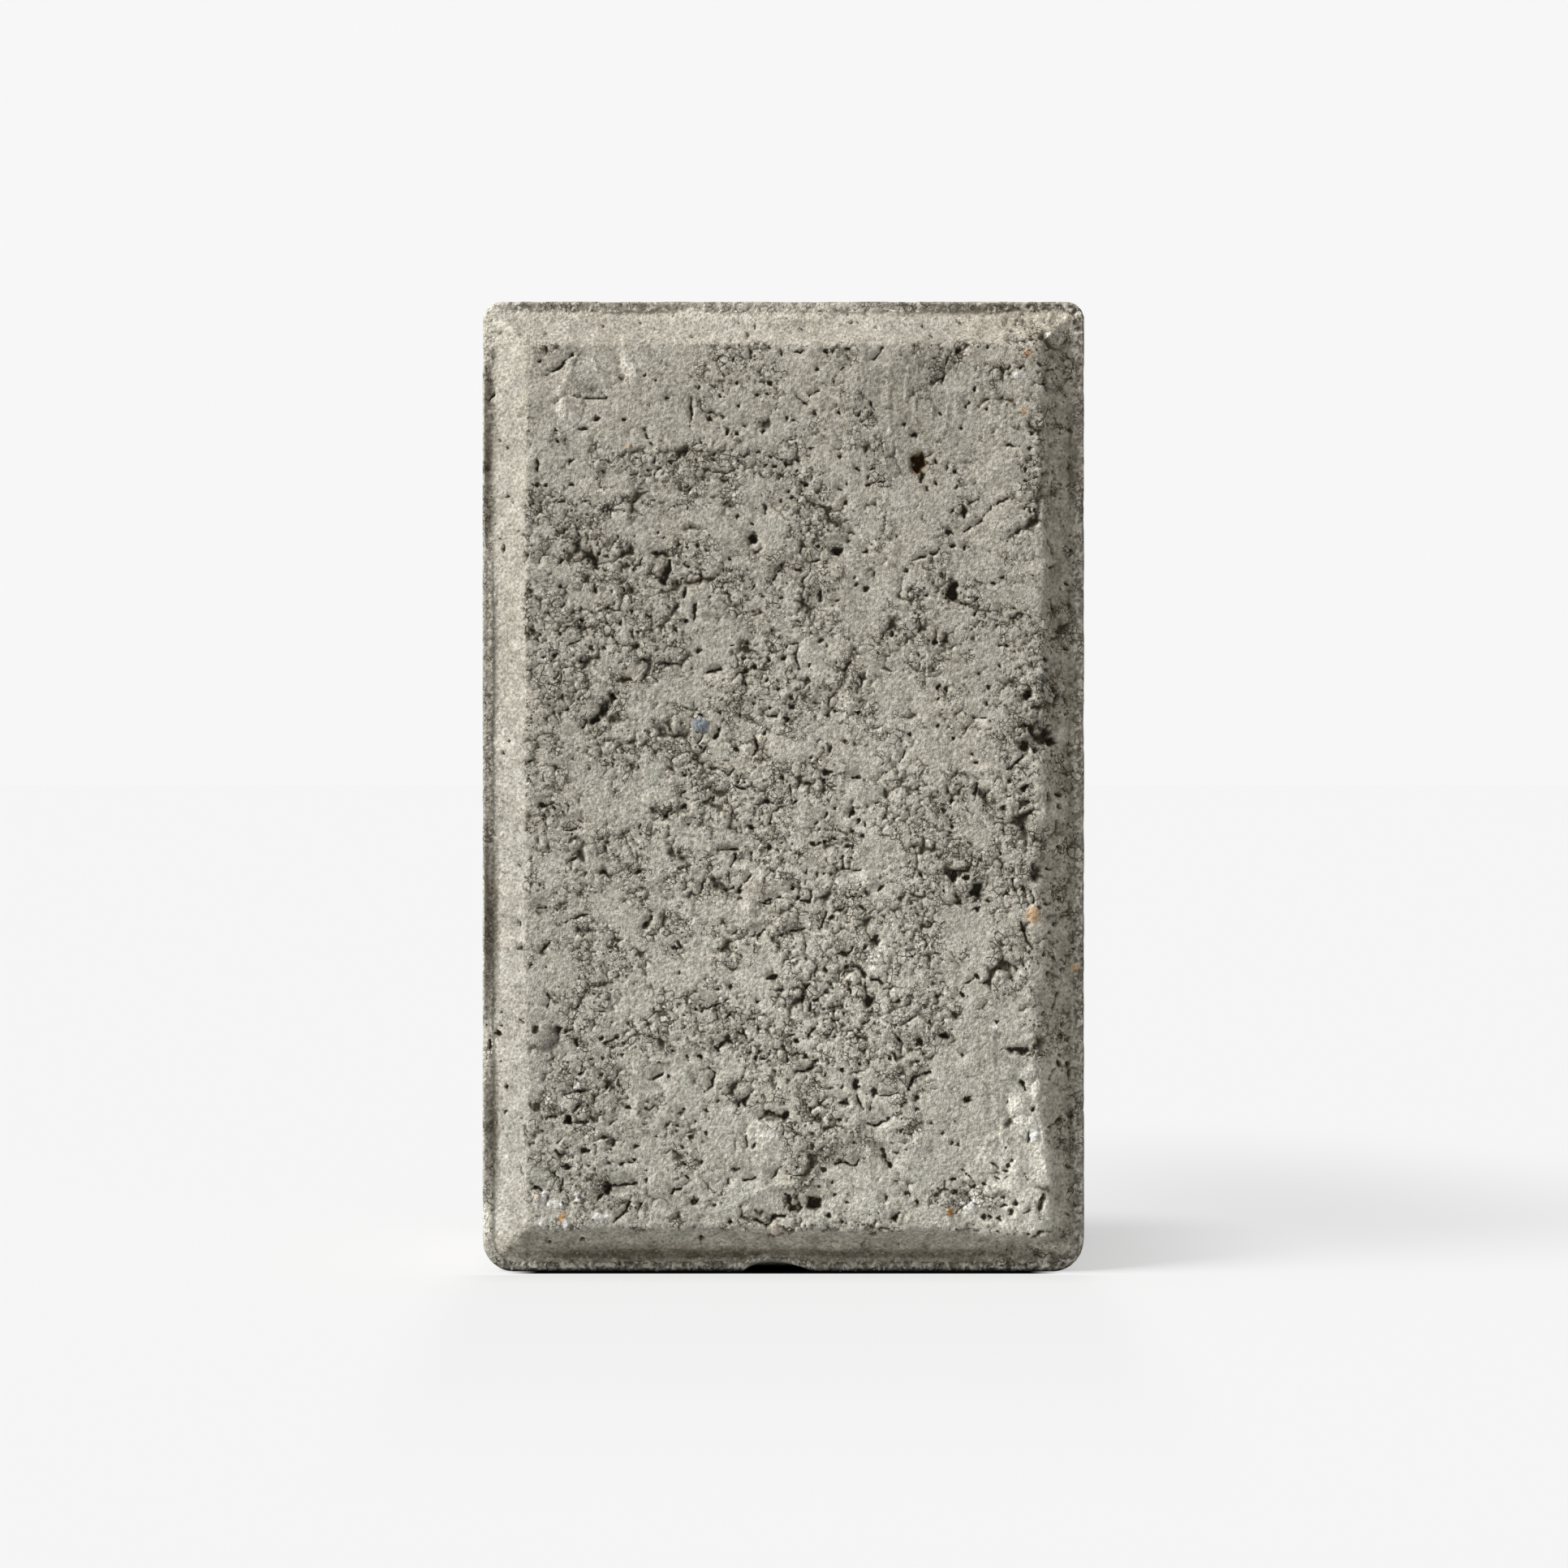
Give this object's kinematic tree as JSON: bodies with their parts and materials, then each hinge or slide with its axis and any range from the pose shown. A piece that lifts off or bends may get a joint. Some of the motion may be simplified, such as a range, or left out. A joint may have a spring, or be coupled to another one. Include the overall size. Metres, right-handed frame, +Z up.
{
  "type": "concrete paver",
  "caption": "Small rectangular concrete paving block with a raised wearing face, hollow bevels and a narrow land round it, for laying paths and drives.",
  "frame": {"origin": "middle of the short end that the paver stands on", "axes": "+X across the width, +Y from the wearing face to the bed face, +Z up the length"},
  "size_m": [0.098, 0.06, 0.158],
  "materials": {
    "concrete": "rough"
  },
  "bodies": {
    "root": {"paver": "concrete"}
  },
  "joints": []
}
